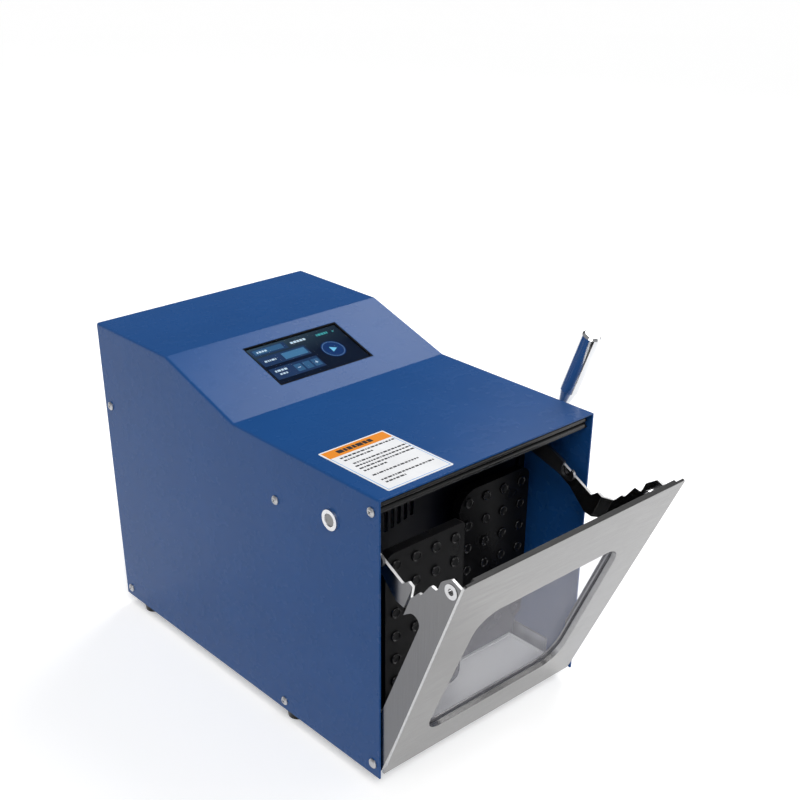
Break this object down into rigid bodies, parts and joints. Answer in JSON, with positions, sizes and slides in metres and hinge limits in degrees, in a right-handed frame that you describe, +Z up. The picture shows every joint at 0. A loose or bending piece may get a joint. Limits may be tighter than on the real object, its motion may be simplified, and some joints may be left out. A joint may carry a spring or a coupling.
{
  "type": "paddle blender homogenizer",
  "caption": "Bench homogenizer: blue sloped housing, tilting window door with lock lever, and two dimpled paddles that beat a sample bag in turn.",
  "frame": {"origin": "centre of the bounding box at the level of the bench, under the feet", "axes": "+Z up, +Y from the door towards the rear panel, +X to the right seen from the front (the lock lever's side)"},
  "size_m": [0.2681, 0.4906, 0.3339],
  "materials": {
    "blue_paint": "smooth powder coat",
    "grey_zinc": "bright zinc",
    "black_paint": "satin powder coat",
    "white_plastic": "smooth",
    "black_rubber": "matt",
    "steel_screw": "bright",
    "black_extrusion": "anodised",
    "label_print": "printed film",
    "black_gloss": "gloss",
    "screen_glass": "clear over a dark display",
    "display": "lit",
    "circuit_board": "solder mask",
    "stainless_sheet": "fine brushed",
    "tinted_pane": "smoky tint",
    "stainless_arm": "satin",
    "stainless_turned": "turned",
    "crank_steel": "satin",
    "bush_brass": "turned bronze",
    "bush_steel": "turned",
    "polished_steel": "polished",
    "paddle_black": "moulded",
    "cast_metal": "as cast",
    "motor_grey": "satin",
    "black_plastic": "semi-gloss"
  },
  "bodies": {
    "housing": {"base_pan": "grey_zinc", "chamber_wall": "black_paint", "control_board": "circuit_board", "cover": "blue_paint", "cover_screws": "steel_screw", "display_module": "display", "drive_bracket": "grey_zinc", "drive_case": "cast_metal", "drive_motor": "motor_grey", "floor_tray": "white_plastic", "foot_front_left": "black_rubber", "foot_front_right": "black_rubber", "foot_rear_left": "black_rubber", "foot_rear_right": "black_rubber", "foot_screws": "steel_screw", "hinge_pin_left": "steel_screw", "hinge_pin_right": "steel_screw", "inlet_screws": "steel_screw", "instruction_label": "label_print", "motor_cowl": "motor_grey", "motor_driver": "grey_zinc", "power_inlet": "black_plastic", "power_supply": "grey_zinc", "rear_panel": "blue_paint", "rod_bush_left": "bush_brass", "rod_bush_right": "bush_brass", "screen_bezel": "black_gloss", "screen_glass": "screen_glass", "seal_bar_lower": "black_rubber", "seal_bar_upper": "black_rubber", "seal_holder": "black_extrusion", "shaft_bush_left": "bush_steel", "shaft_bush_right": "bush_steel", "switch_frame": "black_plastic"},
    "door": {"door_panel": "stainless_sheet", "door_strip": "black_rubber", "window_gasket": "black_rubber", "window_pane": "tinted_pane", "window_frame": "stainless_sheet", "frame_screws": "steel_screw", "door_arm_left": "stainless_arm", "door_arm_right": "stainless_arm", "latch_stud_left": "stainless_turned", "latch_stud_right": "stainless_turned"},
    "door_lock": {"lock_shaft": "stainless_turned", "crank_left": "crank_steel", "crank_right": "crank_steel", "lever_hub": "polished_steel", "lever_rod": "polished_steel", "lever_grip": "polished_steel", "hub_set_screw": "steel_screw"},
    "left_paddle": {"paddle_left": "paddle_black", "push_rod_left": "stainless_turned"},
    "right_paddle": {"paddle_right": "paddle_black", "push_rod_right": "stainless_turned"},
    "power_rocker": {"power_rocker": "black_plastic"}
  },
  "joints": [
    {"name": "door_hinge", "type": "hinge", "parent": "housing", "child": "door", "pos_m": [-0.00912, -0.14294, 0.024], "axis": [1, 0, 0], "range_deg": [-22.5, 0]},
    {"name": "lock_lever", "type": "hinge", "parent": "housing", "child": "door_lock", "pos_m": [-0.00912, -0.09494, 0.234], "axis": [1, 0, 0], "range_deg": [-33.1, 0]},
    {"name": "left_paddle_slide", "type": "slide", "parent": "housing", "child": "left_paddle", "axis": [0, 1, 0], "range_m": [0, 0.035]},
    {"name": "right_paddle_slide", "type": "slide", "parent": "housing", "child": "right_paddle", "axis": [0, 1, 0], "range_m": [-0.035, 0]},
    {"name": "power_switch", "type": "hinge", "parent": "housing", "child": "power_rocker", "pos_m": [0.03087, 0.24106, 0.056], "axis": [1, 0, 0], "range_deg": [-16, 0]}
  ],
  "couplings": [
    {"joint": "right_paddle_slide", "follows": "left_paddle_slide", "ratio": -1}
  ]
}
